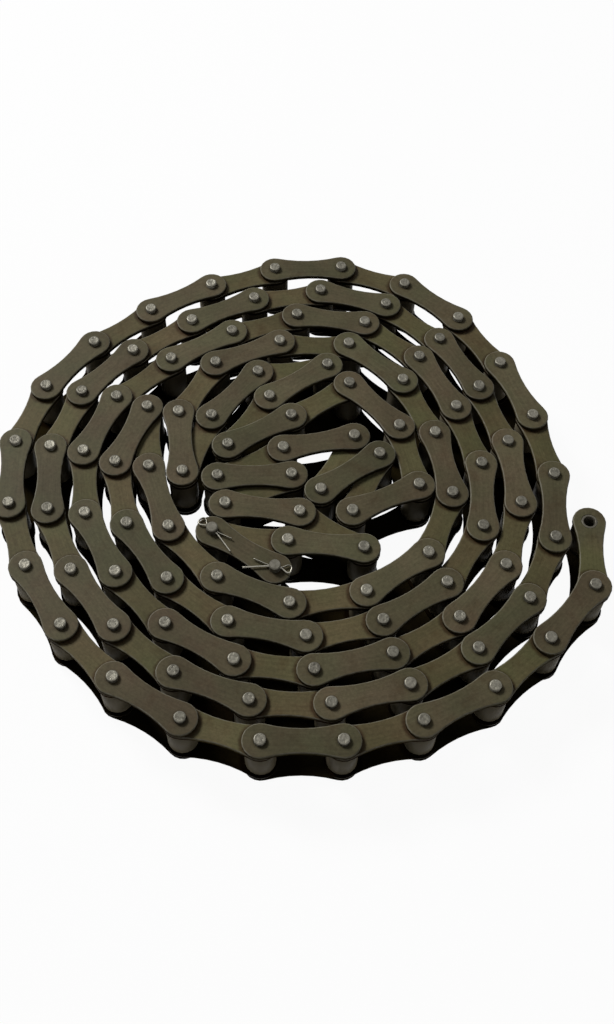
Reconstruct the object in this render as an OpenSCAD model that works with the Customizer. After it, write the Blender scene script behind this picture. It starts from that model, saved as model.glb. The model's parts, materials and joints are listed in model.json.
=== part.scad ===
// Agricultural roller chain, laid on its side and rolled in a coil.
// Every link lies flat: pins upright, lower pin ends on z = 0, coil centred on the origin.
// Odd links are inner links (two plates, two bushes, two rollers).
// Even links are outer links (two plates, two riveted pins). The last one is the connecting link.

/* [Chain] */
// Pitch, from pin to pin
pitch = 29.21; // [28:0.01:31]
// Height of the round plate heads
plate_h = 13; // [12:0.1:13.4]
// Height of the plates at the waist
waist_h = 9.2; // [7.5:0.1:10.5]
// Thickness of the plates
plate_t = 1.7; // [1.2:0.1:2.4]
// Width between the inner plates
inner_w = 15.88; // [12:0.01:20]
// Diameter of the pins
pin_d = 4.47; // [3.6:0.01:5]
// Length of a pin end outside the outer plate
pin_proud = 1.75; // [1:0.05:2.5]
// Chamfer of the pin ends
pin_chamfer = 0.35; // [0.1:0.05:0.6]
// Outside diameter of the bushes
bush_d = 6.3; // [5.6:0.1:7.5]
// Outside diameter of the rollers
roller_d = 11.43; // [9.5:0.01:12]
// Chamfer of the roller rims
roller_chamfer = 0.5; // [0.2:0.1:1]

/* [Fits] */
// Clearance drawn round a pin or bush that is pressed into a plate
press_play = 0.01; // [0.005:0.005:0.02]
// Radial clearance of a pin in its bush
pin_play = 0.06; // [0.03:0.01:0.1]
// Radial clearance of a roller on its bush
roller_play = 0.08; // [0.04:0.01:0.1]
// Side play between an inner and an outer plate
side_play = 0.25; // [0.1:0.05:0.5]
// Side play at each end of a roller
roller_end_play = 0.2; // [0.1:0.05:0.4]
// Clearance of a cotter in its cross hole, all round
cotter_play = 0.05; // [0.03:0.01:0.1]
// Clearance of the connecting pins in the loose cover plate, all round
cover_play = 0.03; // [0.02:0.01:0.08]

/* [Connecting link] */
// Length of a connecting pin above the cover plate
long_proud = 3; // [2.6:0.1:4]
// Diameter of a cotter's closed shank
cotter_d = 1.2; // [1:0.1:1.5]
// Diameter of one cotter leg
leg_d = 0.8; // [0.6:0.1:1]
// Height of a cotter above the cover plate
cotter_lift = 0.3; // [0.2:0.1:0.6]
// Length of the long leg, from the pin axis
long_leg = 12.5; // [8:0.5:14]
// Length of the short leg, from the pin axis
short_leg = 9; // [6:0.5:10]
// Spread of each leg from the cotter's axis, in degrees
leg_spread = 15; // [8:1:25]
// Radius of the cotter's eye, to the middle of its wire
eye_r = 1.5; // [1.2:0.1:2]

/* [Coil] */
// Room between the heads of neighbouring turns
turn_gap = 0.44; // [0.4:0.02:0.8]
// Extra room under the outer turn, so that it unwinds freely
outer_lift = 0.9; // [0.6:0.1:1.5]
// Radius at the start of the spiral
start_r = 113.13; // [112.5:0.01:117]
// Where the spiral starts, in degrees clockwise from +X
start_at = 65; // [0:1:359]
// Three-sided swell of the turns
swell_3 = 2.34; // [0:0.01:3]
// Four-sided swell of the turns
swell_4 = 2.04; // [0:0.01:3]
// Least room between two heads at a tight fold
fold_gap = 0.14; // [0.1:0.02:0.4]

/* [Hidden] */
$fn = 64;

// Heights, from the lower pin ends or from the middle of the chain
outer_face = inner_w / 2 + plate_t + side_play;
mid_z = outer_face + plate_t + pin_proud;
cover_top = mid_z + outer_face + plate_t;
pin_l = 2 * mid_z;
long_pin_l = cover_top + long_proud;
bush_l = inner_w + 2 * plate_t;
pin_hole = pin_d + 2 * press_play;
bush_hole = bush_d + 2 * press_play;
roller_l = inner_w - 2 * roller_end_play;
cotter_z = cover_top + cotter_lift + cotter_d / 2;

// Plate outline: round heads, and a waist cut by two large circles that touch both heads
head_r = plate_h / 2;
waist_r = (pow(pitch / 2, 2) + pow(waist_h / 2, 2) - pow(head_r, 2)) / (plate_h - waist_h);
waist_y = waist_h / 2 + waist_r;
touch = waist_r / (waist_r + head_r);
touch_x = touch * pitch / 2;
touch_y = (1 - touch) * waist_y;

// The spiral is followed clockwise from the free end. Turned is in degrees from its start.
turn_step = plate_h + turn_gap;
swell_3_at = -15;
swell_4_at = -52;
lift_fades = [302, 362];
function lift_at(turned) =
    let (share = (turned - lift_fades[0]) / (lift_fades[1] - lift_fades[0]))
    outer_lift * (1 + cos(180 * min(max(share, 0), 1))) / 2;
function swell_at(turned) =
    swell_3 * cos(3 * (turned - swell_3_at)) + swell_4 * cos(4 * (turned - swell_4_at));
function spiral(turned) =
    let (r = start_r + swell_at(turned) - turn_step * turned / 360 + lift_at(turned))
    r * [cos(start_at + turned), -sin(start_at + turned)];

// The next pin lies one pitch further along the spiral. Its angle is found by halving.
least_step = 8;
most_step = 60;
halvings = 40;
function one_pitch(from, near, far, left) =
    let (mid = (near + far) / 2)
    left == 0 ? mid
    : norm(spiral(mid) - from) < pitch ? one_pitch(from, mid, far, left - 1)
    : one_pitch(from, near, mid, left - 1);
function walk(from, turned, way, left) =
    left == 0 ? []
    : let (next = one_pitch(from, turned + way * least_step, turned + way * most_step, halvings))
    concat([next], walk(spiral(next), next, way, left - 1));

// From a point, each link adds one pitch along its heading
function toward(heading) = pitch * [cos(heading), sin(heading)];
function lay(from, headings, i) =
    i == len(headings) ? []
    : let (next = from + toward(headings[i]))
    concat([next], lay(next, headings, i + 1));
function lay_back(to, headings, i) =
    i < 0 ? []
    : let (last = to - toward(headings[i]))
    concat(lay_back(last, headings, i - 1), [last]);
function running_sum(start, steps, i) =
    i == len(steps) ? []
    : let (sum = start + steps[i])
    concat([sum], running_sum(sum, steps, i + 1));
function heading_of(a, b) = atan2(b.y - a.y, b.x - a.x);

// Free end, left open of the coil: headings of its links, in degrees
tail_headings = [-92, -129, -137, -152];
// Links of the clockwise spiral, and of the loop that turns back inside it
spiral_links = 66;
loop_links = 9;
// Folded chain inside the loop: bend at each pin, in degrees, stopped where two heads would meet
heart_bends = [
    25, 39, 26, 37, 35, 153, -18, -43, -153, 21, 154, 5, -82, -30,
    -78, -138, 149, -154, 130, 16, 154, -154, 145, -26, -153, -2, 154
];
fold_limit = 180 - 2 * asin((plate_h + fold_gap) / (2 * pitch));
function stopped(bend) = min(max(bend, -fold_limit), fold_limit);

spiral_turns = walk(spiral(0), 0, 1, spiral_links);
spiral_pins = concat([spiral(0)], [for (turned = spiral_turns) spiral(turned)]);
spiral_end = spiral_pins[spiral_links];
loop_turns = walk(spiral_end, spiral_turns[spiral_links - 1] + 360, -1, loop_links);
loop_pins = [for (turned = loop_turns) spiral(turned)];
loop_end = loop_pins[loop_links - 1];
heart_start = heading_of(loop_pins[loop_links - 2], loop_end);
heart_headings = running_sum(heart_start, [for (bend = heart_bends) stopped(bend)], 0);
raw_pins = concat(
    lay_back(spiral_pins[0], tail_headings, len(tail_headings) - 1),
    spiral_pins,
    loop_pins,
    lay(loop_end, heart_headings, 0)
);
middle = [for (i = [0, 1]) (min([for (p = raw_pins) p[i]]) + max([for (p = raw_pins) p[i]])) / 2];
pins = [for (p = raw_pins) p - middle];

// Links and pins are counted from 1 at the free end. Link k joins pins k and k + 1.
// The moving links swing on their own pins. The rest of the coil is the core.
link_count = len(pins) - 1;
moving_last = 11;
moving_links = [for (k = [1 : moving_last]) k];
moving_rollers = [for (k = [1 : moving_last + 1]) k];
core_links = [for (k = [moving_last + 1 : link_count - 1]) k];
core_inner_links = [for (k = core_links) if (is_inner(k)) k];
core_outer_links = [for (k = core_links) if (!is_inner(k)) k];
function is_inner(k) = k % 2 == 1;
function two(k) = str(k < 10 ? "0" : "", k);
function link_name(k) = str(is_inner(k) ? "inner_link_" : "outer_link_", two(k));
function upper_name(k) = str(link_name(k), "_upper_plate");
function lower_name(k) = str(link_name(k), "_lower_plate");
function ends_name(k) = str(link_name(k), is_inner(k) ? "_bushes" : "_pins");
function roller_name(k) = str("roller_", two(k));

plate_colour = "#4a4436";
pin_colour = "#8a857c";
bush_colour = "#6b665c";
roller_colour = "#45423b";
cotter_colour = "#c9c9c4";

// How far a cutter reaches past each end of its hole
hole_spare = 1;

module at_link(k) {
    a = pins[k - 1];
    b = pins[k];
    translate([(a.x + b.x) / 2, (a.y + b.y) / 2, mid_z]) rotate(heading_of(a, b)) children();
}

module at_pin(k) {
    translate([pins[k - 1].x, pins[k - 1].y, 0]) children();
}

module plate_outline() {
    difference() {
        union() {
            for (side = [-1, 1]) translate([side * pitch / 2, 0]) circle(r = head_r);
            square([2 * touch_x, 2 * touch_y], center = true);
        }
        for (side = [-1, 1]) translate([0, side * waist_y]) circle(r = waist_r);
    }
}

// A plate lies with its near face this far from the middle of the chain. Up is 1 or -1.
module plate(near_face, hole_d, up) {
    translate([0, 0, up > 0 ? near_face : -near_face - plate_t]) linear_extrude(plate_t) difference() {
        plate_outline();
        for (side = [-1, 1]) translate([side * pitch / 2, 0]) circle(d = hole_d);
    }
}

module inner_plate(k, up) {
    color(plate_colour) at_link(k) plate(inner_w / 2, bush_hole, up);
}

module outer_plate(k, up) {
    color(plate_colour) at_link(k) plate(outer_face, pin_hole, up);
}

// A round rod with chamfered ends, standing on z = 0
module rod(d, length, chamfer) {
    rotate_extrude() polygon([
        [0, 0],
        [d / 2 - chamfer, 0],
        [d / 2, chamfer],
        [d / 2, length - chamfer],
        [d / 2 - chamfer, length],
        [0, length]
    ]);
}

// A bore right through a piece of this length that stands on z = 0
module through(r, length) {
    translate([0, 0, -hole_spare]) cylinder(r = r, h = length + 2 * hole_spare);
}

module pin(k) {
    color(pin_colour) at_pin(k) rod(pin_d, pin_l, pin_chamfer);
}

module bush(k) {
    color(bush_colour) at_pin(k) translate([0, 0, mid_z - bush_l / 2]) difference() {
        cylinder(d = bush_d, h = bush_l);
        through(pin_d / 2 + pin_play, bush_l);
    }
}

module roller(k) {
    color(roller_colour) at_pin(k) translate([0, 0, mid_z - roller_l / 2]) difference() {
        rod(roller_d, roller_l, roller_chamfer);
        through(bush_d / 2 + roller_play, roller_l);
    }
}

module link_plate(k, up) {
    if (is_inner(k)) inner_plate(k, up);
    else outer_plate(k, up);
}

// Two bushes are pressed into an inner link, and two pins into an outer link
module link_ends(k) {
    for (end = [k, k + 1])
        if (is_inner(k)) bush(end);
        else pin(end);
}

module core_plates(links, up) {
    for (k = links) link_plate(k, up);
}

module core_ends(links) {
    for (k = links) link_ends(k);
}

module core_rollers() {
    for (k = core_inner_links) for (end = [k, k + 1]) roller(end);
}

// Connecting link: its pins are longer above, and a cotter through each holds the cover plate
cotter_turns = [-7, 203];
cotter_long_sides = [-1, 1];

module at_cotter(i) {
    at_pin(link_count + i) translate([0, 0, cotter_z])
        rotate(heading_of(pins[link_count - 1], pins[link_count]) + cotter_turns[i]) children();
}

module connecting_pins() {
    color(pin_colour) for (i = [0, 1]) difference() {
        at_pin(link_count + i) rod(pin_d, long_pin_l, pin_chamfer);
        at_cotter(i) rotate([0, 90, 0])
            cylinder(d = cotter_d + 2 * cotter_play, h = pin_d + 2 * hole_spare, center = true);
    }
}

module connecting_pin_plate() {
    outer_plate(link_count, -1);
}

module connecting_cover_plate() {
    color(plate_colour) at_link(link_count) plate(outer_face, pin_d + 2 * cover_play, 1);
}

// Split pin along X: eye on the near side of the pin, two spread legs on the far side
eye_seat = 1;
split_seat = 0.5;
wire_sides = 12;

module cotter(i) {
    eye_x = -pin_d / 2 - eye_seat - eye_r;
    split_x = pin_d / 2 + split_seat;
    shank_x = eye_x + eye_r;
    long_side = cotter_long_sides[i];
    color(cotter_colour) at_cotter(i) union() {
        translate([eye_x, 0, 0]) rotate_extrude() translate([eye_r, 0]) circle(d = leg_d, $fn = wire_sides);
        translate([shank_x, 0, 0]) rotate([0, 90, 0])
            cylinder(d = cotter_d, h = split_x - shank_x, $fn = wire_sides);
        for (leg = [[long_leg, long_side], [short_leg, -long_side]])
            translate([split_x - leg_d, 0, 0]) rotate([0, 90, leg[1] * leg_spread])
                cylinder(d = leg_d, h = leg[0] - split_x + leg_d, $fn = wire_sides);
    }
}

for (k = moving_links) {
    link_plate(k, 1);
    link_plate(k, -1);
    link_ends(k);
}
for (k = moving_rollers) roller(k);
core_plates(core_outer_links, 1);  // core_upper_outer_plates
core_plates(core_outer_links, -1);  // core_lower_outer_plates
core_plates(core_inner_links, 1);  // core_upper_inner_plates
core_plates(core_inner_links, -1);  // core_lower_inner_plates
core_ends(core_outer_links);  // core_pins
core_ends(core_inner_links);  // core_bushes
core_rollers();
connecting_pin_plate();
connecting_cover_plate();
connecting_pins();
cotter(0);  // cotter_near
cotter(1);  // cotter_end
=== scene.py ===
# %% [markdown]
# # A coil of agricultural roller chain
# The object is ten feet of steel chain, rolled flat and lying on its side on a pale floor. The packed
# CAD model gives every plate, pin, bush and roller its place. This script lays a finer surface over each
# of them and gives it the dark, oiled look of the real steel. The frame is loaded first. The finished
# looks may not grow past it.

# %% Load the frame
import json
import math
import bpy
import numpy as np
from mathutils import Matrix, Vector


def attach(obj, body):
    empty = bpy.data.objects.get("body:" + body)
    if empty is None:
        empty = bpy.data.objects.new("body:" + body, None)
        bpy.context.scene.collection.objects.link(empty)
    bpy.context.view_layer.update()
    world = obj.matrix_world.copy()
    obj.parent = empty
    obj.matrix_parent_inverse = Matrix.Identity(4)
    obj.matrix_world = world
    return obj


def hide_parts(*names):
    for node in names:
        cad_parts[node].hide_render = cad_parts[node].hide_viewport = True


MM = 0.001
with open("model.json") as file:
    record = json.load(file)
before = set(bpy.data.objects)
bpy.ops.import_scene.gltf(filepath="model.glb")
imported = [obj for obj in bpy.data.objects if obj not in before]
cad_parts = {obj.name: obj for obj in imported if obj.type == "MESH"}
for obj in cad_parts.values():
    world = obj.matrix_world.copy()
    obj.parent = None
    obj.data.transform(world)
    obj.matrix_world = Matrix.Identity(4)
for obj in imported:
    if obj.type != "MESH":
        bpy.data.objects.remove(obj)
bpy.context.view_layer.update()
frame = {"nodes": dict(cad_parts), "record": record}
body_of = {node: body for body, nodes in frame["record"]["behaviour"]["bodies"].items() for node in nodes}
slot_of = {part["node"]: part["material_slot"] for part in frame["record"]["subparts"]}
chance = np.random.default_rng(29)

# %% [markdown]
# ## Finding the solids in a node
# A CAD node such as the upper outer plates of the coil is one mesh that holds dozens of separate solids.
# Each solid is needed by itself, to know where to lay a new surface. Blender can separate loose parts
# with an operator, but arrays are quicker and leave the CAD mesh as it is: equal points share a number,
# and the lowest number spreads through the triangles until every solid carries one number.


# %% Solids of a node
same_point = 0.002 * MM


def mesh_points(mesh):
    """All points of a mesh as one array."""
    points = np.empty(len(mesh.vertices) * 3, np.float32)
    mesh.vertices.foreach_get("co", points)
    return points.reshape(-1, 3).astype(float)


def solid_boxes(node):
    """Low and high corners of each solid in a node: points that coincide are joined, then every triangle
    gives its corners the lowest label among them, until no label changes."""
    mesh = frame["nodes"][node].data
    points = mesh_points(mesh)
    mesh.calc_loop_triangles()
    triangles = np.empty(len(mesh.loop_triangles) * 3, np.int32)
    mesh.loop_triangles.foreach_get("vertices", triangles)
    _, joined = np.unique(np.round(points / same_point).astype(np.int64), axis=0, return_inverse=True)
    joined = joined.ravel()
    triangles = joined[triangles].reshape(-1, 3)
    label = np.arange(joined.max() + 1)
    settled = False
    while not settled:
        lowest = label.copy()
        np.minimum.at(lowest, triangles.ravel(), np.repeat(label[triangles].min(axis=1), 3))
        lowest = lowest[lowest]
        settled = np.array_equal(lowest, label)
        label = lowest
    _, solid = np.unique(label[joined], return_inverse=True)
    solid = solid.ravel()
    low = np.full((solid.max() + 1, 3), np.inf)
    high = -low
    np.minimum.at(low, solid, points)
    np.maximum.at(high, solid, points)
    return low, high


def solids_in(nodes):
    """How many solids some nodes hold."""
    return sum(len(boxes[node][0]) for node in nodes)


boxes = {node: solid_boxes(node) for node in frame["nodes"] if not node.startswith("cotter")}
print("solids found", solids_in(boxes))

# %% [markdown]
# ## Pins, pitch and headings
# A chain is a row of pins one pitch apart. The bushes stand round the pins, so the middles of their boxes
# give every pin but the last, which the connecting pins give. A plate looks the same after half a turn,
# so the middle of its box is its own middle, and its heading runs between the two pins that this middle
# lies halfway between. The free end is the bush of the first link that no pin goes through.


# %% Pin centres
def middles(node):
    """Plan centres of the solids in a node."""
    low, high = boxes[node]
    return (low[:, :2] + high[:, :2]) / 2


def nearest(spots, others):
    """Distance from each spot to the closest of the others."""
    return np.linalg.norm(spots[:, None] - others[None], axis=2).min(axis=1)


def radius_of(node):
    """Radius of the round solids in a node."""
    low, high = boxes[node]
    return float(high[0, 0] - low[0, 0]) / 2


same_spot = 1 * MM
pin_spots = np.concatenate([middles(node) for node in sorted(boxes) if node.endswith("bushes")])
link_ends = middles("connecting_pins")
pin_spots = np.concatenate([pin_spots, link_ends[nearest(link_ends, pin_spots) > same_spot]])
first_bushes = middles("inner_link_01_bushes")
pitch = float(np.linalg.norm(np.diff(first_bushes, axis=0)))
free_end = first_bushes[nearest(first_bushes, middles("outer_link_02_pins")).argmax()]
bush_r = radius_of("inner_link_01_bushes")
pin_r = radius_of("outer_link_02_pins")
print("pins", len(pin_spots), "pitch mm", round(pitch / MM, 3), "pin radius mm", round(pin_r / MM, 3))


# %% Plate headings and sizes
def plate_headings(node):
    """Centre and heading of every plate, and how far its pins miss: the pair of pins wanted is half a pitch
    away on opposite sides, so their two ways from the middle cancel."""
    centre = middles(node)
    reach = pin_spots[None] - centre[:, None]
    off = np.abs(np.linalg.norm(reach, axis=2) - pitch / 2)
    miss = np.linalg.norm(reach[:, :, None] + reach[:, None], axis=3)
    miss = miss + off[:, :, None] + off[:, None]
    best = miss.reshape(len(centre), -1).argmin(axis=1)
    first, second = np.divmod(best, len(pin_spots))
    span = pin_spots[second] - pin_spots[first]
    centre = (pin_spots[first] + pin_spots[second]) / 2
    return centre, np.arctan2(span[:, 1], span[:, 0]), miss.reshape(len(centre), -1).min(axis=1)


first_low, first_high = boxes["inner_link_01_upper_plate"]
first_turn = plate_headings("inner_link_01_upper_plate")[1][0]
head_r = (first_high[0, 0] - first_low[0, 0]) / 2 - pitch / 2 * abs(math.cos(first_turn))
plate_t = first_high[0, 2] - first_low[0, 2]
worst = max(plate_headings(node)[2].max() for node in boxes if "plate" in node)
print("head mm", round(head_r / MM, 3), "plate mm", round(plate_t / MM, 3))
print("worst fit mm", round(worst / MM, 3))

# %% [markdown]
# ## From grids to meshes
# Every piece is a stack of rings: the same number of points on each ring, joined to the next ring by
# quads. One such shape is worked out once and then set down at many places by one array product, which
# keeps the file short and the coil exact. Each copy also carries two numbers of its own, so that the
# material can make one plate browner or darker than the next. Each point carries its place on its own
# plate, how much that corner is rubbed, which on plates also sets a painted highlight, and whether the
# plate is an inner one, which gets oil seep and painted contact shade, or a lower one, which gets painted
# shade. The free end has no plate over it, so it doesn't count as inner, and gets no oil seep or painted
# contact shade.


# %% Quads between rings
def ring_faces(rings, around, closed):
    """Quads between neighbouring rings; a closed stack also joins its last ring to its first."""
    ring = np.arange(rings if closed else rings - 1)[:, None]
    step = np.arange(around)[None]
    ahead = (step + 1) % around
    above = (ring + 1) % rings
    corners = (ring * around + step, ring * around + ahead, above * around + ahead, above * around + step)
    return np.stack(np.broadcast_arrays(*corners), axis=-1).reshape(-1, 4)


print("three rings of four points make", len(ring_faces(3, 4, False)), "quads")


# %% Numbers that a piece carries
def lies_under(node):
    """Whether a plate is on the lower side of the chain."""
    return "lower" in node or "pin_plate" in node


def own_numbers(node, points, rim):
    """What the finish reads at every point: two random numbers for each copy, how much the point is rubbed,
    which on plates also sets a painted highlight, and one or nought for inner and for lower plates, which on
    plates set the oil seep and painted shade."""
    copies, count = points.shape[:2]
    own = {"tone": np.repeat(chance.random(copies), count), "tint": np.repeat(chance.random(copies), count)}
    own["rim"] = np.tile(rim, copies)
    own["inner"] = np.full(copies * count, float("inner" in node))
    if node.startswith("inner_link_01"):
        own["inner"] = np.linalg.norm(points.reshape(-1, 3)[:, :2] - free_end, axis=1) > pitch / 2
    own["under"] = np.full(copies * count, float(lies_under(node)))
    return own


# %% Build a piece from copies of one shape
def make_piece(node, points, faces, smooth, shape, rim, caps=None):
    """A mesh of copies: points is copies x points x 3; faces, smooth, the shape's own points, how much each
    is rubbed (on plates also given a painted highlight), and the flat end caps, which are rows of points,
    belong to one copy."""
    copies, count = points.shape[:2]
    shift = (np.arange(copies) * count)[:, None, None]
    polygons = (faces[None] + shift).reshape(-1, faces.shape[1]).tolist()
    smooth = np.tile(smooth, copies)
    if caps is not None:
        polygons = polygons + (caps[None] + shift).reshape(-1, caps.shape[1]).tolist()
        smooth = np.append(smooth, np.zeros(copies * len(caps), bool))
    mesh = bpy.data.meshes.new(node + "_surface")
    mesh.from_pydata(points.reshape(-1, 3), [], polygons)
    mesh.polygons.foreach_set("use_smooth", smooth)
    for name, values in own_numbers(node, points, rim).items():
        mesh.attributes.new(name, "FLOAT", "POINT").data.foreach_set("value", values.astype(np.float32))
    place = np.broadcast_to(shape, points.shape).astype(np.float32)
    mesh.attributes.new("place", "FLOAT_VECTOR", "POINT").data.foreach_set("vector", place.ravel())
    mesh.validate()
    piece = bpy.data.objects.new(node + "_look", mesh)
    bpy.context.scene.collection.objects.link(piece)
    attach(piece, body_of[node])
    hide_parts(node)
    piece.data.materials.append(finishes[slot_of[node]])


def set_down(shape, centre, turn, base, flip=False):
    """Copies of a shape turned about Z and moved to each centre; flip lays it face down first."""
    if flip:
        shape = shape * (1, -1, -1)
    c, s = np.cos(turn)[:, None], np.sin(turn)[:, None]
    x = c * shape[None, :, 0] - s * shape[None, :, 1] + centre[:, :1]
    y = s * shape[None, :, 0] + c * shape[None, :, 1] + centre[:, 1:]
    z = np.broadcast_to(shape[None, :, 2] + base, x.shape)
    return np.stack([x, y, z], axis=-1)


# %% [markdown]
# ## Steel finishes
# The plates are hot rolled, blackened and oiled, so they are dark olive brown with soft patches, and the
# corners are rubbed bright, with a painted highlight on them; shade is painted on the lower plates, the
# sides and round the joints. The pins have dull, staked ends, rollers and bushes are brown grey and satin,
# and the split pins are drawn wire. Painted images could carry this, but they need unwrapping. Each finish
# here is a small node tree on Object coordinates, or on the numbers that each copy carries, so its patches
# stay on the steel when a link swings. A few helpers keep the trees short.


# %% One node of a finish
def node_in(tree, kind, inputs, output=0, **settings):
    """A shader node. Settings are its own options, and inputs maps a socket to a number, a colour or the
    output of another node. Returns the output that is asked for."""
    made = tree.nodes.new(kind)
    for name, value in settings.items():
        setattr(made, name, value)
    for socket, value in inputs.items():
        if isinstance(value, bpy.types.NodeSocket):
            tree.links.new(value, made.inputs[socket])
        else:
            made.inputs[socket].default_value = value
    return made.outputs[output]


# %% Numbers in a finish
def noise(tree, place, size, detail, roughness):
    """Cloudy noise whose blotches are about one size across."""
    sockets = {"Vector": place, "Scale": 1 / size, "Detail": detail, "Roughness": roughness}
    return node_in(tree, "ShaderNodeTexNoise", sockets, "Fac")


def spread(tree, value, low, high, to_low=0.0, to_high=1.0):
    """Stretches a value from one range to another and stops at its ends."""
    return node_in(tree, "ShaderNodeMapRange", {0: value, 1: low, 2: high, 3: to_low, 4: to_high})


def worked(tree, operation, first, second):
    """Two values put through one sum."""
    return node_in(tree, "ShaderNodeMath", {0: first, 1: second}, operation=operation)


def own_value(tree, name, output="Fac"):
    """A value that each copy or point carries."""
    return node_in(tree, "ShaderNodeAttribute", {}, output, attribute_name=name)


def share(tree, value, part):
    """A fixed part of a value."""
    return worked(tree, "MULTIPLY", value, part)


def balanced(tree, first, second, part):
    """A part of the first value and the rest of the second."""
    return worked(tree, "ADD", share(tree, first, part), share(tree, second, 1 - part))


# %% Colours in a finish
def grey(level):
    """A plain grey as a colour."""
    return (level, level, level, 1)


def mixed(tree, blend, factor, first, second):
    """Two colours mixed."""
    sockets = {0: factor, 6: first, 7: second}
    return node_in(tree, "ShaderNodeMix", sockets, 2, data_type="RGBA", blend_type=blend)


def toned(tree, factor, colour, shade):
    """A colour multiplied by a shade, as far as the factor says."""
    return mixed(tree, "MULTIPLY", factor, colour, (*shade, 1))


def grained(tree, amount, colour, pattern, low, high):
    """A pattern laid over a colour between two greys; middle grey leaves the colour as it is."""
    return mixed(tree, "OVERLAY", amount, colour, mixed(tree, "MIX", pattern, grey(low), grey(high)))


# %% Start and end of a finish
def new_steel(name, metal):
    """A material, its node tree, its shader and Object coordinates. Metal is 1 for bare steel, and less
    where a black skin of oxide and oil covers it."""
    material = bpy.data.materials.new(name)
    material.use_nodes = True
    tree = material.node_tree
    shader = tree.nodes["Principled BSDF"]
    shader.inputs["Metallic"].default_value = metal
    return material, tree, shader, node_in(tree, "ShaderNodeTexCoord", {}, "Object")


def dress(tree, shader, colour, rough, height, depth):
    """Joins colour, roughness and a bump of a given depth to the shader."""
    tree.links.new(colour, shader.inputs["Base Color"])
    tree.links.new(rough, shader.inputs["Roughness"])
    sockets = {"Strength": 1.0, "Distance": depth, "Height": height}
    tree.links.new(node_in(tree, "ShaderNodeBump", sockets, "Normal"), shader.inputs["Normal"])


# %% [markdown]
# ## Oiled plates
# A plate keeps the black skin of hot rolling under a film of oil. Its colour drifts slowly, fine lines run
# along it, and a brown band of oil seep and painted contact shade lies where the next plate's head lies on
# it. One flat colour with noise would look like plastic, so this band, and a dark ring of oil and painted
# shade round the pin, follow the distance to the pin, which each point's place on its own plate gives.
# Lower plates are darkened with painted shade, and the rolled edge is rubbed bright with a painted
# highlight. The side below the rolled edge is dull, and darkened with painted shade.


# %% Places on a plate
def plate_places(tree):
    """A point's place on its own plate, the same place moved apart for every plate so that noises differ,
    and the distance to the nearer pin, which is the length of (|x| less half a pitch, y)."""
    own_place = own_value(tree, "place", "Vector")
    apart = node_in(tree, "ShaderNodeCombineXYZ", {0: own_value(tree, "tone"), 1: own_value(tree, "tint")})
    along = node_in(tree, "ShaderNodeVectorMath", {0: own_place, 1: apart}, operation="ADD")
    folded = node_in(tree, "ShaderNodeVectorMath", {0: own_place}, operation="ABSOLUTE")
    half = (pitch / 2, 0, 0)
    from_pin = node_in(tree, "ShaderNodeVectorMath", {0: folded, 1: half}, operation="SUBTRACT")
    from_pin = node_in(tree, "ShaderNodeVectorMath", {0: from_pin, 1: (1, 1, 0)}, operation="MULTIPLY")
    from_pin = node_in(tree, "ShaderNodeVectorMath", {0: from_pin}, "Value", operation="LENGTH")
    return own_place, along, from_pin


# %% Colour of a plate
cloud_size = 26 * MM
hue_size = 14 * MM
dark_olive = (0.066, 0.0575, 0.0345, 1)
pale_olive = (0.128, 0.111, 0.0685, 1)
greener = (0.9, 1.0, 0.86, 1)
redder = (1.08, 0.95, 0.95, 1)
inner_shade = (1.06, 1.06, 0.9)
# painted shade for the lower plates, which lie in the shade under the chain
painted_under_shade = (0.3, 0.28, 0.24)


def plate_base(tree, place, along):
    """Slow clouds and the plate's own tone move it between two olive browns, and patches and its own tint
    turn it greener or redder; lower plates are darkened with painted shade. Returns the clouds too."""
    cloud = spread(tree, noise(tree, place, cloud_size, 3, 0.5), 0.3, 0.7)
    drift = balanced(tree, cloud, own_value(tree, "tone"), 0.55)
    colour = mixed(tree, "MIX", drift, dark_olive, pale_olive)
    hue = spread(tree, noise(tree, along, hue_size, 2, 0.5), 0.35, 0.65)
    hue = balanced(tree, hue, own_value(tree, "tint"), 0.5)
    colour = mixed(tree, "MULTIPLY", 1.0, colour, mixed(tree, "MIX", hue, greener, redder))
    colour = toned(tree, own_value(tree, "inner"), colour, inner_shade)
    # Painted shade: every lower plate is darkened, standing in for the shade it lies in.
    return cloud, toned(tree, share(tree, own_value(tree, "under"), 0.8), colour, painted_under_shade)


# %% Oil and painted shade on a plate
stain_size = 7 * MM
ragged_size = 2 * MM
ragged_depth = 1.6 * MM
near_head_from = head_r - 0.3 * MM
near_head_to = head_r + 0.9 * MM
ring_width = 1.1 * MM
stain_shade = (0.6, 0.5, 0.4)
# oil seep and painted contact shade on inner plates next to the head over them
seep_and_contact_shade = (0.36, 0.24, 0.2)
# oil and painted shade round the pin
pin_ring_oil_and_shade = (0.4, 0.34, 0.3)


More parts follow.
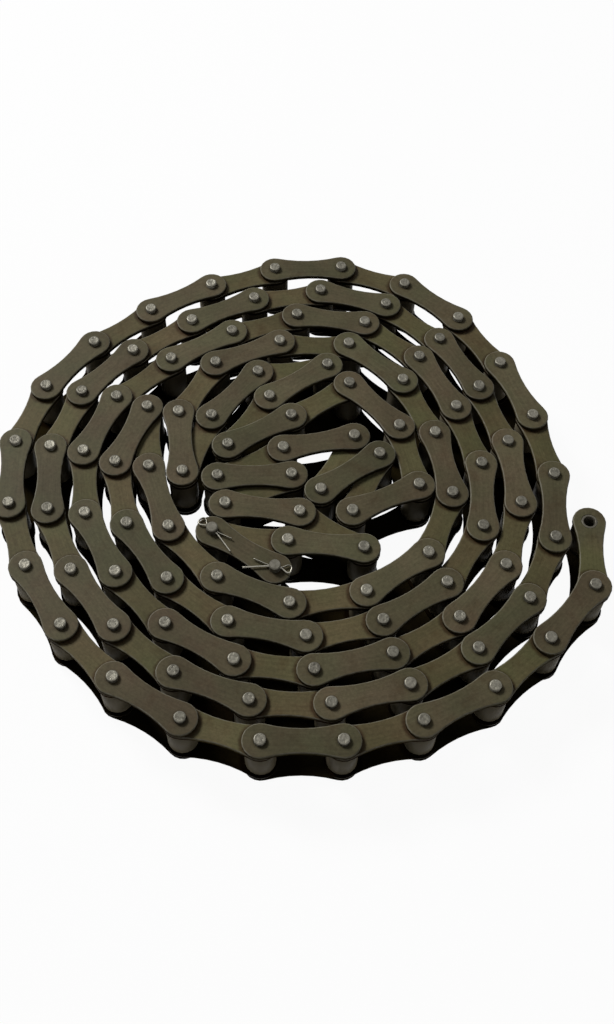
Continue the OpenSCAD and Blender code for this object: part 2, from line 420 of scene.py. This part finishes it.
def plate_oil_and_shade(tree, along, from_pin, colour):
    """Brown stains; a ragged brown band of oil seep and painted contact shade on inner plates next to the
    next plate's head; and a dark ring of oil and painted shade round the pin. Returns the stains too,
    because they are smoother."""
    stain = spread(tree, noise(tree, along, stain_size, 4, 0.6), 0.54, 0.8)
    colour = toned(tree, share(tree, stain, 0.6), colour, stain_shade)
    ragged = share(tree, noise(tree, along, ragged_size, 3, 0.6), ragged_depth)
    reach = worked(tree, "SUBTRACT", from_pin, ragged)
    near_head = spread(tree, reach, near_head_from, near_head_to, 1.0, 0.0)
    # Oil seep with painted contact shade: inner plates are darkened next to the head of the plate over them.
    seep_and_contact = share(tree, worked(tree, "MULTIPLY", near_head, own_value(tree, "inner")), 0.85)
    colour = toned(tree, seep_and_contact, colour, seep_and_contact_shade)
    # A ring of oil and painted shade: the plate is darkened round the pin, where the pin shades it.
    ring = spread(tree, from_pin, pin_r, pin_r + ring_width, 1.0, 0.0)
    return stain, toned(tree, share(tree, ring, 0.7), colour, pin_ring_oil_and_shade)


# %% Oiled plate
line_length = 16 * MM
line_width = 0.9 * MM
speck_size = 1.3 * MM
patch_size = 2.5 * MM
skin_depth = 0.012 * MM
# rubbed steel with a painted highlight on the rolled edge
rubbed_steel_highlight = (0.2, 0.188, 0.145, 1)
# painted shade for the side below the rolled edge
painted_side_shade = (0.4, 0.36, 0.3)


def plate_steel():
    """The base colour with rolling lines along the plate and fine specks over it, then the oil and painted
    shade, then the rubbed corners with a painted highlight, and last the dull side below the rolled edge,
    darkened with painted shade."""
    material, tree, shader, place = new_steel("oiled_plate_steel", 0.0)
    own_place, along, from_pin = plate_places(tree)
    cloud, colour = plate_base(tree, place, along)
    scale = (1 / line_length, 1 / line_width, 1 / line_width)
    rolled = noise(tree, node_in(tree, "ShaderNodeMapping", {"Vector": along, "Scale": scale}), 1.0, 4, 0.65)
    colour = grained(tree, 0.5, colour, rolled, 0.2, 0.8)
    speck = noise(tree, place, speck_size, 5, 0.75)
    colour = grained(tree, 0.5, colour, speck, 0, 1)
    stain, colour = plate_oil_and_shade(tree, along, from_pin, colour)
    # Rubbed corners: partly real wear, partly a painted highlight along the rolled edge.
    patchy = spread(tree, noise(tree, along, patch_size, 3, 0.6), 0.35, 0.62, 0.3, 1.0)
    rubbed = worked(tree, "MULTIPLY", spread(tree, own_value(tree, "rim"), 0.5, 0.95), patchy)
    colour = mixed(tree, "MIX", rubbed, colour, rubbed_steel_highlight)
    # Painted shade: the side below the rolled edge is darkened; its specular is also taken away.
    height = node_in(tree, "ShaderNodeSeparateXYZ", {0: own_place}, "Z")
    dull_shaded_side = spread(tree, height, 0.5 * plate_t, 0.95 * plate_t, 1.0, 0.0)
    colour = toned(tree, dull_shaded_side, colour, painted_side_shade)
    tree.links.new(spread(tree, dull_shaded_side, 0, 1, 0.08, 0), shader.inputs["Specular IOR Level"])
    rough = worked(tree, "SUBTRACT", spread(tree, cloud, 0, 1, 0.44, 0.54), share(tree, stain, 0.1))
    relief = worked(tree, "ADD", speck, share(tree, rolled, 0.6))
    dress(tree, shader, colour, rough, relief, skin_depth)
    return material


finishes = {"plate": plate_steel()}
print("nodes in the plate's finish", len(finishes["plate"].node_tree.nodes))

# %% [markdown]
# ## Round steel and wire
# Pins are cut from drawn bar, bushes and rollers are formed cold, and split pins are drawn wire. They differ
# in tone, grain and gloss. Five separate node trees would say the same thing five times, so one function
# with those values makes all five finishes: two tones, the specks of the grain, and a lighter tone where a
# corner is rubbed.


# %% Finish of round steel and wire
def turned_steel(name, metal, dark, light, worn, patch, grain, rough, depth):
    """Steel between a dark and a light tone in patches of one size, with specks of the grain's size over
    them, a worn tone on rubbed corners, and a mean roughness and a bump depth."""
    material, tree, shader, place = new_steel(name, metal)
    shader.inputs["Specular IOR Level"].default_value = 0.02
    cloud = spread(tree, noise(tree, place, patch, 4, 0.6), 0.32, 0.68)
    drift = balanced(tree, cloud, own_value(tree, "tone"), 0.6)
    colour = mixed(tree, "MIX", drift, (*dark, 1), (*light, 1))
    speck = noise(tree, place, grain, 5, 0.7)
    colour = grained(tree, 0.3, colour, speck, 0.2, 0.8)
    colour = mixed(tree, "MIX", own_value(tree, "rim"), colour, (*worn, 1))
    dress(tree, shader, colour, spread(tree, cloud, 0, 1, rough - 0.07, rough + 0.07), speck, depth)
    return material


finishes["pin"] = turned_steel(
    "staked_pin_steel", 0.5, (0.035, 0.032, 0.024), (0.24, 0.227, 0.185), (0.26, 0.247, 0.205),
    patch=1.1 * MM, grain=0.5 * MM, rough=0.42, depth=0.07 * MM)
finishes["long_pin"] = turned_steel(
    "long_pin_steel", 0.5, (0.11, 0.103, 0.083), (0.21, 0.198, 0.165), (0.3, 0.285, 0.24),
    patch=1.4 * MM, grain=0.5 * MM, rough=0.42, depth=0.05 * MM)
finishes["bush"] = turned_steel(
    "bush_steel", 0.5, (0.07, 0.064, 0.05), (0.13, 0.12, 0.096), (0.14, 0.13, 0.105),
    patch=4 * MM, grain=0.6 * MM, rough=0.36, depth=0.015 * MM)
finishes["roller"] = turned_steel(
    "oiled_roller_steel", 0.0, (0.088, 0.073, 0.046), (0.142, 0.121, 0.08), (0.16, 0.139, 0.096),
    patch=6 * MM, grain=0.8 * MM, rough=0.45, depth=0.015 * MM)
finishes["cotter"] = turned_steel(
    "drawn_wire", 0.9, (0.2, 0.19, 0.155), (0.34, 0.325, 0.27), (0.4, 0.385, 0.33),
    patch=3 * MM, grain=0.4 * MM, rough=0.3, depth=0.01 * MM)
print("finishes", ", ".join(sorted(finishes)))

# %% [markdown]
# ## Plates
# A plate is stamped from strip: two round heads joined by a waist, a hole at each pin, and the edge on the
# face that meets the die rolled over. It could be a solid with Bevel on it, but the rolled edge then has
# the same radius everywhere and costs many faces on 212 plates. Here half a plate is a fan of rings round
# its hole, from the hole's edge over the top and the rolled edge to the underside, and the other half is
# the same turned round. The two halves share the points on the cut across the waist.


# %% Outline of half a plate
head_points = 13
waist_points = 3
waist_share = 9.2 / 13
waist_r = head_r * waist_share


def half_outline(head, waist):
    """Outline of half a plate round its pin, with the way out at each point: the head's arc until it meets
    the wide waist circle, that circle to the middle, then across the cut and back along the other side.
    The waist circle touches both heads, so half a pitch and the two half heights give its radius."""
    half = pitch / 2
    hollow = (half**2 + waist**2 - head**2) / (2 * (head - waist))
    lean = math.atan2(half, waist + hollow)
    turn = np.linspace(-1, 1, head_points) * (math.pi / 2 + lean)
    arc_out = np.stack([np.cos(turn), np.sin(turn)], axis=1)
    arc = arc_out * head + (half, 0)
    dip = np.linspace(lean, 0, waist_points + 1)[1:]
    side_out = np.stack([-np.sin(dip), np.cos(dip)], axis=1)
    side = (0, waist + hollow) - side_out * hollow
    mirror = np.array([1, -1])
    outline = np.concatenate([arc, side, side[::-1] * mirror])
    return outline, np.concatenate([arc_out, side_out, side_out[::-1] * mirror])


print("points round half a plate", len(half_outline(head_r, waist_r)[0]))

# %% Shape of a plate
edge_roll = 0.5 * MM
hole_break = 0.18 * MM
weld = 0.001 * MM


def plate_shape(head, waist, hole, thick):
    """Rings of half a plate from the hole's lower edge up, out over the top, round the rolled edge and down
    the side; then both halves, welded. A ring is a radius round the hole or a step in from the outline,
    with its height and how much it is rubbed, which also sets the painted highlight on the rolled edge."""
    outline, out = half_outline(head, waist)
    ray = outline - (pitch / 2, 0)
    ray = ray / np.linalg.norm(ray, axis=1)[:, None]
    bore = [(hole, 0, 0), (hole, thick - hole_break, 0), (hole + hole_break, thick, 0.2)]
    edge = [(edge_roll, thick, 0.5), (edge_roll * 0.3, thick - edge_roll * 0.2, 1.0)]
    edge = edge + [(0, thick - edge_roll * 0.7, 0.6), (0, 0, 0.15)]
    rings = [np.column_stack([ray * r + (pitch / 2, 0), np.full(len(ray), z)]) for r, z, _ in bore]
    rings = rings + [np.column_stack([outline - out * d, np.full(len(ray), z)]) for d, z, _ in edge]
    half = np.concatenate(rings)
    around = len(outline)
    faces = ring_faces(len(rings), around, True)[:, ::-1]
    band, step = np.divmod(np.arange(len(faces)), around)
    on_cut = step == head_points + waist_points - 1
    kept = ~(on_cut & (band >= len(bore)) & (band < len(rings) - 1))
    smooth = ((band != len(bore) - 1) & (band != len(rings) - 1))[kept]
    faces = faces[kept]
    points = np.concatenate([half, half * (-1, -1, 1)])
    faces = np.concatenate([faces, faces + len(half)])
    rim = np.tile(np.repeat([worn for _, _, worn in bore + edge], around), 2)
    rounded = np.round(points / weld)
    _, first, welded = np.unique(rounded, axis=0, return_index=True, return_inverse=True)
    return points[first], welded.ravel()[faces], np.tile(smooth, 2), rim[first]


# %% Lay the plates
press_play = 0.01 * MM
plate_nodes = sorted(node for node in boxes if "plate" in node)
for node in plate_nodes:
    low, high = boxes[node]
    centre, heading, _ = plate_headings(node)
    filling = bush_r if "inner" in node else pin_r
    thick = high[0, 2] - low[0, 2]
    shape, faces, smooth, rim = plate_shape(head_r, waist_r, filling + press_play, thick)
    under = lies_under(node)
    points = set_down(shape, centre, heading, high[0, 2] if under else low[0, 2], under)
    make_piece(node, points, faces, smooth, shape, rim)
print("plates", solids_in(plate_nodes), "of", len(faces), "faces")

# %% [markdown]
# ## Round pieces
# Pins, bushes and rollers are round about one axis, so each is a profile carried round it. A Screw modifier
# would turn one profile, but a node of the coil holds dozens of pins. With arrays the shape is turned once
# and set down at all their places together.


# %% Turned shapes
def turned(profile, around):
    """Profile points (radius, height) carried round Z in equal steps."""
    turn = np.arange(around) * (2 * math.pi / around)
    radius, height = np.array(profile).T
    ring = np.stack([np.cos(turn), np.sin(turn)], axis=1)
    plan = radius[:, None, None] * ring[None]
    rise = np.broadcast_to(height[:, None, None], plan.shape[:2] + (1,))
    return np.concatenate([plan, rise], axis=2).reshape(-1, 3)


def end_caps(rings, around):
    """The flat faces that close the first and the last ring, both facing out."""
    step = np.arange(around)
    return np.stack([step[::-1], step + (rings - 1) * around])


# %% [markdown]
# ## Staked pins
# A pin's end is staked cold in a press, which leaves it slightly dished and uneven. Each end could be shaped
# by hand, but there are about a hundred. Random numbers from one generator with a fixed seed give every
# upper end its own small tilt and lumps, the same ones each time. The lumps only take height away, so that
# no pin grows past its solid. A point of the end is a share of the radius, a share of the stake's depth
# and how much it is rubbed.

# %% Lay the pins
pin_around = 18
stake = 0.42 * MM
tilt_spread = 0.02
lump_depth = 0.05 * MM
pin_end = [(0.42, 0.12, 0.2), (0.78, 0, 0.2), (0.93, 0.28, 0.5), (1, 1, 0)]
pin_nodes = sorted(node for node in boxes if node.endswith("pins") and node != "connecting_pins")
for node in pin_nodes:
    low, high = boxes[node]
    length = high[0, 2] - low[0, 2]
    profile = [(pin_r * r, stake * z) for r, z, _ in pin_end]
    profile = profile + [(r, length - z) for r, z in profile[::-1]]
    shape = turned(profile, pin_around)
    points = set_down(shape, middles(node), np.zeros(len(low)), low[0, 2])
    upper = np.repeat(np.arange(len(profile)) > len(pin_end), pin_around)
    tilt = chance.normal(0, tilt_spread, (len(low), 2))
    lean = tilt @ shape[:, :2].T - np.linalg.norm(tilt, axis=1)[:, None] * pin_r
    lumps = -np.abs(chance.normal(0, lump_depth, points.shape[:2]))
    points[:, :, 2] += np.where(upper, lean + lumps, 0)
    faces = ring_faces(len(profile), pin_around, False)
    band = np.arange(len(faces)) // pin_around
    smooth = (band > 0) & (band < len(profile) - 2)
    rubbed = [worn for _, _, worn in pin_end]
    rim = np.repeat(rubbed + rubbed[::-1], pin_around)
    make_piece(node, points, faces, smooth, shape, rim, caps=end_caps(len(profile), pin_around))
print("pins", solids_in(pin_nodes))

# %% [markdown]
# ## Bushes and rollers
# A bush is a tube with broken edges, pressed into the inner plates, and a roller is a wider tube with
# rounded shoulders that turns on it. One cylinder could be cut from another with a Boolean, but that leaves
# ragged faces. A closed profile carried round gives clean quads and keeps the bore open.

# %% Lay the bushes and rollers
bore_play = 0.06 * MM
roller_play = 0.08 * MM


def tube_profile(inner, outer, length, broken, shoulder):
    """Closed profile of a tube, anticlockwise: the inner edges are broken by a flat, the outer ones rounded
    by two flats; the third number of each point is how much that corner is rubbed."""
    low = [(inner, broken, 0.1), (inner + broken, 0, 0.3), (outer - shoulder, 0, 0.3)]
    low = low + [(outer - shoulder * 0.3, shoulder * 0.3, 0.8), (outer, shoulder, 0.2)]
    return np.array(low + [(r, length - z, worn) for r, z, worn in low[::-1]])


def lay_tubes(nodes, inner, outer, around, broken, shoulder):
    """One tube at every solid of the nodes."""
    for node in nodes:
        low, high = boxes[node]
        profile = tube_profile(inner, outer, high[0, 2] - low[0, 2], broken, shoulder)
        shape = turned(profile[:, :2], around)
        points = set_down(shape, middles(node), np.zeros(len(low)), low[0, 2])
        faces = ring_faces(len(profile), around, True)
        band = np.arange(len(faces)) // around
        smooth = ~np.isin(band, [1, len(profile) - 3])
        make_piece(node, points, faces, smooth, shape, np.repeat(profile[:, 2], around))


bush_nodes = sorted(node for node in boxes if node.endswith("bushes"))
roller_nodes = sorted(node for node in boxes if "roller" in node)
roller_r = radius_of("roller_01")
lay_tubes(bush_nodes, pin_r + bore_play, bush_r, around=16, broken=0.12 * MM, shoulder=0.18 * MM)
lay_tubes(roller_nodes, bush_r + roller_play, roller_r, around=20, broken=0.25 * MM, shoulder=0.5 * MM)
print("bushes", solids_in(bush_nodes), "rollers", solids_in(roller_nodes))

# %% [markdown]
# ## Connecting link
# The inner end of the chain is closed by a link that comes apart: a cover plate lies over two longer pins,
# and a split pin through each holds it down. The two pins keep their CAD solids, because their cross holes
# are already right. A split pin is half round wire folded on itself, flat against flat through the hole,
# with a drop shaped eye at the fold and its legs spread by hand. It is one profile carried along one path.


# %% Places of a split pin
wire_r = 0.45 * MM
shank_past = 0.3 * MM


def split_pin_frame(node):
    """Found in a split pin's solid: the pin it goes through, the way along it from eye to legs, the way
    across to its long leg, both lengths of leg, the far end of its eye and its height. The farthest point
    is the long leg's tip, the points behind the pin are the eye, and the other side is the short leg."""
    cloud = mesh_points(frame["nodes"][node].data)
    spot = link_ends[np.linalg.norm(link_ends - cloud[:, :2].mean(axis=0), axis=1).argmin()]
    flat = cloud[:, :2] - spot
    reach = np.linalg.norm(flat, axis=1)
    tip = flat[reach.argmax()]
    eye = flat[(flat @ tip < 0) & (reach > pin_r + shank_past)]
    axis = -eye.mean(axis=0) / np.linalg.norm(eye.mean(axis=0))
    across = np.array([-axis[1], axis[0]]) * np.sign(axis[0] * tip[1] - axis[1] * tip[0])
    other = flat[(flat @ axis > pin_r) & (flat @ across < 0)]
    short = float(np.linalg.norm(other, axis=1).max())
    eye_end = float((-eye @ axis).max()) - wire_r
    level = (cloud[:, 2].min() + cloud[:, 2].max()) / 2
    return spot, axis, across, float(reach.max()), short, eye_end, level


# %% Path and section of the wire
eye_width = 2.3 * MM


def split_pin_path(start, long_leg, short_leg, eye_end, opening, count):
    """Middle of the wire's flat side in the split pin's own frame, from the long leg's tip to the short
    one's. A leg leaves the shank on a softened ramp. The eye is a drop: its length follows one less the
    cosine of a full turn, and its width the sine times the squared sine of half the turn."""
    gap = 0.02 * MM
    soft = 0.7 * MM
    ramp = math.tan(opening)

    def leg(tip):
        x = np.linspace(tip * math.cos(opening), -start, count)
        past = x - start
        return np.stack([x, gap + ramp * (past + np.sqrt(past**2 + soft**2)) / 2], axis=1)

    turn = np.linspace(0, 2 * math.pi, 2 * count)[1:-1]
    eye_x = -start - (eye_end - start) * (1 - np.cos(turn)) / 2
    eye_y = gap * np.cos(turn / 2) + eye_width * np.sin(turn) * np.sin(turn / 2) ** 2
    mirror = np.array([1, -1])
    return np.concatenate([leg(long_leg), np.stack([eye_x, eye_y], axis=1), leg(short_leg)[::-1] * mirror])


def half_round(path, radius, sides):
    """A half round section carried along a plane path: its flat side faces left of the way forward."""
    ahead = np.gradient(path, axis=0)
    ahead = ahead / np.linalg.norm(ahead, axis=1)[:, None]
    right = np.stack([ahead[:, 1], -ahead[:, 0]], axis=1)
    turn = np.linspace(-math.pi / 2, math.pi / 2, sides)
    plan = path[:, None] + right[:, None] * (radius * np.cos(turn))[None, :, None]
    height = np.broadcast_to(radius * np.sin(turn), plan.shape[:2])
    return np.concatenate([plan, height[:, :, None]], axis=2).reshape(-1, 3)


# %% Lay the split pins
wire_sides = 7
wire_wear = 0.3
leg_points = 14
leg_opening = math.radians(15)
for node in ("cotter_near", "cotter_end"):
    spot, axis, across, long_leg, short_leg, eye_end, level = split_pin_frame(node)
    path = split_pin_path(pin_r + shank_past, long_leg, short_leg, eye_end, leg_opening, leg_points)
    wire = half_round(path, wire_r, wire_sides)
    plan = spot + wire[:, :1] * axis + wire[:, 1:2] * across
    points = np.column_stack([plan, wire[:, 2] + level])[None]
    faces = ring_faces(len(path), wire_sides, False)
    caps = end_caps(len(path), wire_sides)
    if axis[0] * across[1] - axis[1] * across[0] < 0:
        faces = faces[:, ::-1]
        caps = caps[:, ::-1]
    smooth = np.arange(len(faces)) % wire_sides != wire_sides - 1
    make_piece(node, points, faces, smooth, wire, np.full(len(wire), wire_wear), caps=caps)
    print(node, "legs mm", round(long_leg / MM, 2), round(short_leg / MM, 2))
frame["nodes"]["connecting_pins"].data.materials.clear()
frame["nodes"]["connecting_pins"].data.materials.append(finishes["long_pin"])
print("connecting pins", solids_in(["connecting_pins"]))

# %% [markdown]
# ## Floor and white surroundings
# The chain lies on a white sweep with hardly any shadow. Strong lamps could burn a floor out to white, but
# they would burn the steel as well. So the floor and the world are white only to rays that come from the
# camera or from a reflection, and the floor keeps a soft shadow. For all other rays the world is dim,
# which leaves the gaps between the links black.


# %% White floor
def seen_directly(tree):
    """One where a ray comes from the camera, a mirror or a glass surface, else nought."""
    names = ("Is Camera Ray", "Is Glossy Ray", "Is Transmission Ray")
    eye, mirror, glass = [node_in(tree, "ShaderNodeLightPath", {}, name) for name in names]
    return worked(tree, "MAXIMUM", worked(tree, "MAXIMUM", eye, mirror), glass)


floor_half = 3.0
paper_glow = 0.95
floor_mesh = bpy.data.meshes.new("floor")
corners = np.array([(-1, -1, 0), (1, -1, 0), (1, 1, 0), (-1, 1, 0)]) * floor_half
floor_mesh.from_pydata(corners, [], [(0, 1, 2, 3)])
floor = bpy.data.objects.new("floor", floor_mesh)
bpy.context.scene.collection.objects.link(floor)
paper = bpy.data.materials.new("white_paper")
paper.use_nodes = True
tree = paper.node_tree
sheet = tree.nodes["Principled BSDF"]
sheet.inputs["Base Color"].default_value = grey(0.86)
sheet.inputs["Roughness"].default_value = 0.9
sheet.inputs["Specular IOR Level"].default_value = 0
glow = node_in(tree, "ShaderNodeEmission", {})
white = share(tree, seen_directly(tree), paper_glow)
blend = node_in(tree, "ShaderNodeMixShader", {0: white, 1: sheet.outputs[0], 2: glow})
tree.links.new(blend, tree.nodes["Material Output"].inputs["Surface"])
floor_mesh.materials.append(paper)
print("floor", 2 * floor_half, "m across")

# %% White world
dim_world = 0.06
world = bpy.data.worlds.new("white_sweep")
bpy.context.scene.world = world
world.use_nodes = True
tree = world.node_tree
sky = tree.nodes["Background"]
sky.inputs["Color"].default_value = grey(1)
tree.links.new(spread(tree, seen_directly(tree), 0, 1, dim_world, 1.0), sky.inputs["Strength"])
print("world", world.name)

# %% [markdown]
# ## Lamps
# The light comes from behind on the left, and every pin and plate head throws a short dark shadow to the
# right. A sun would do that too, but with hard edges. A middling square lamp softens them a little, and a
# wide, weak one in front opens the near side. Their strength is set so that a colour renders about as it
# is written.


# %% Lamps
def soft_lamp(name, place, aim, size, watts):
    """A square area lamp that looks at a point."""
    lamp = bpy.data.lights.new(name, "AREA")
    lamp.size = size
    lamp.energy = watts
    holder = bpy.data.objects.new(name, lamp)
    bpy.context.scene.collection.objects.link(holder)
    holder.location = place
    holder.rotation_euler = (Vector(aim) - Vector(place)).to_track_quat("-Z", "Y").to_euler()


coil_middle = (0, 0, 0)
soft_lamp("key_behind_left", (-0.97, 0.87, 1.17), coil_middle, size=0.5, watts=28)
soft_lamp("fill_front_right", (0.9, -1.0, 1.0), coil_middle, size=1.8, watts=1.5)
bpy.context.scene.view_settings.view_transform = "Standard"
print("lamps", len(bpy.data.lights))

# %% [markdown]
# ## Camera
# The coil is seen from the front and from well above, with a slight roll. The camera could follow an empty
# with a Track To constraint, but that keeps it level. A place, an aim and a roll are three plain values, and
# one matrix holds them.

# %% Camera
aim = Vector((3.65, -18.0, 26.68)) * MM
stand = aim + Vector((0, -249.5, 402.4)) * MM
roll = math.radians(1.88)
lens = bpy.data.cameras.new("camera")
lens.lens = 43.2
camera = bpy.data.objects.new("camera", lens)
bpy.context.scene.collection.objects.link(camera)
turned_camera = (aim - stand).to_track_quat("-Z", "Y").to_matrix() @ Matrix.Rotation(roll, 3, "Z")
camera.matrix_world = Matrix.Translation(stand) @ turned_camera.to_4x4()
bpy.context.scene.camera = camera
print("camera", [round(v, 4) for v in stand])
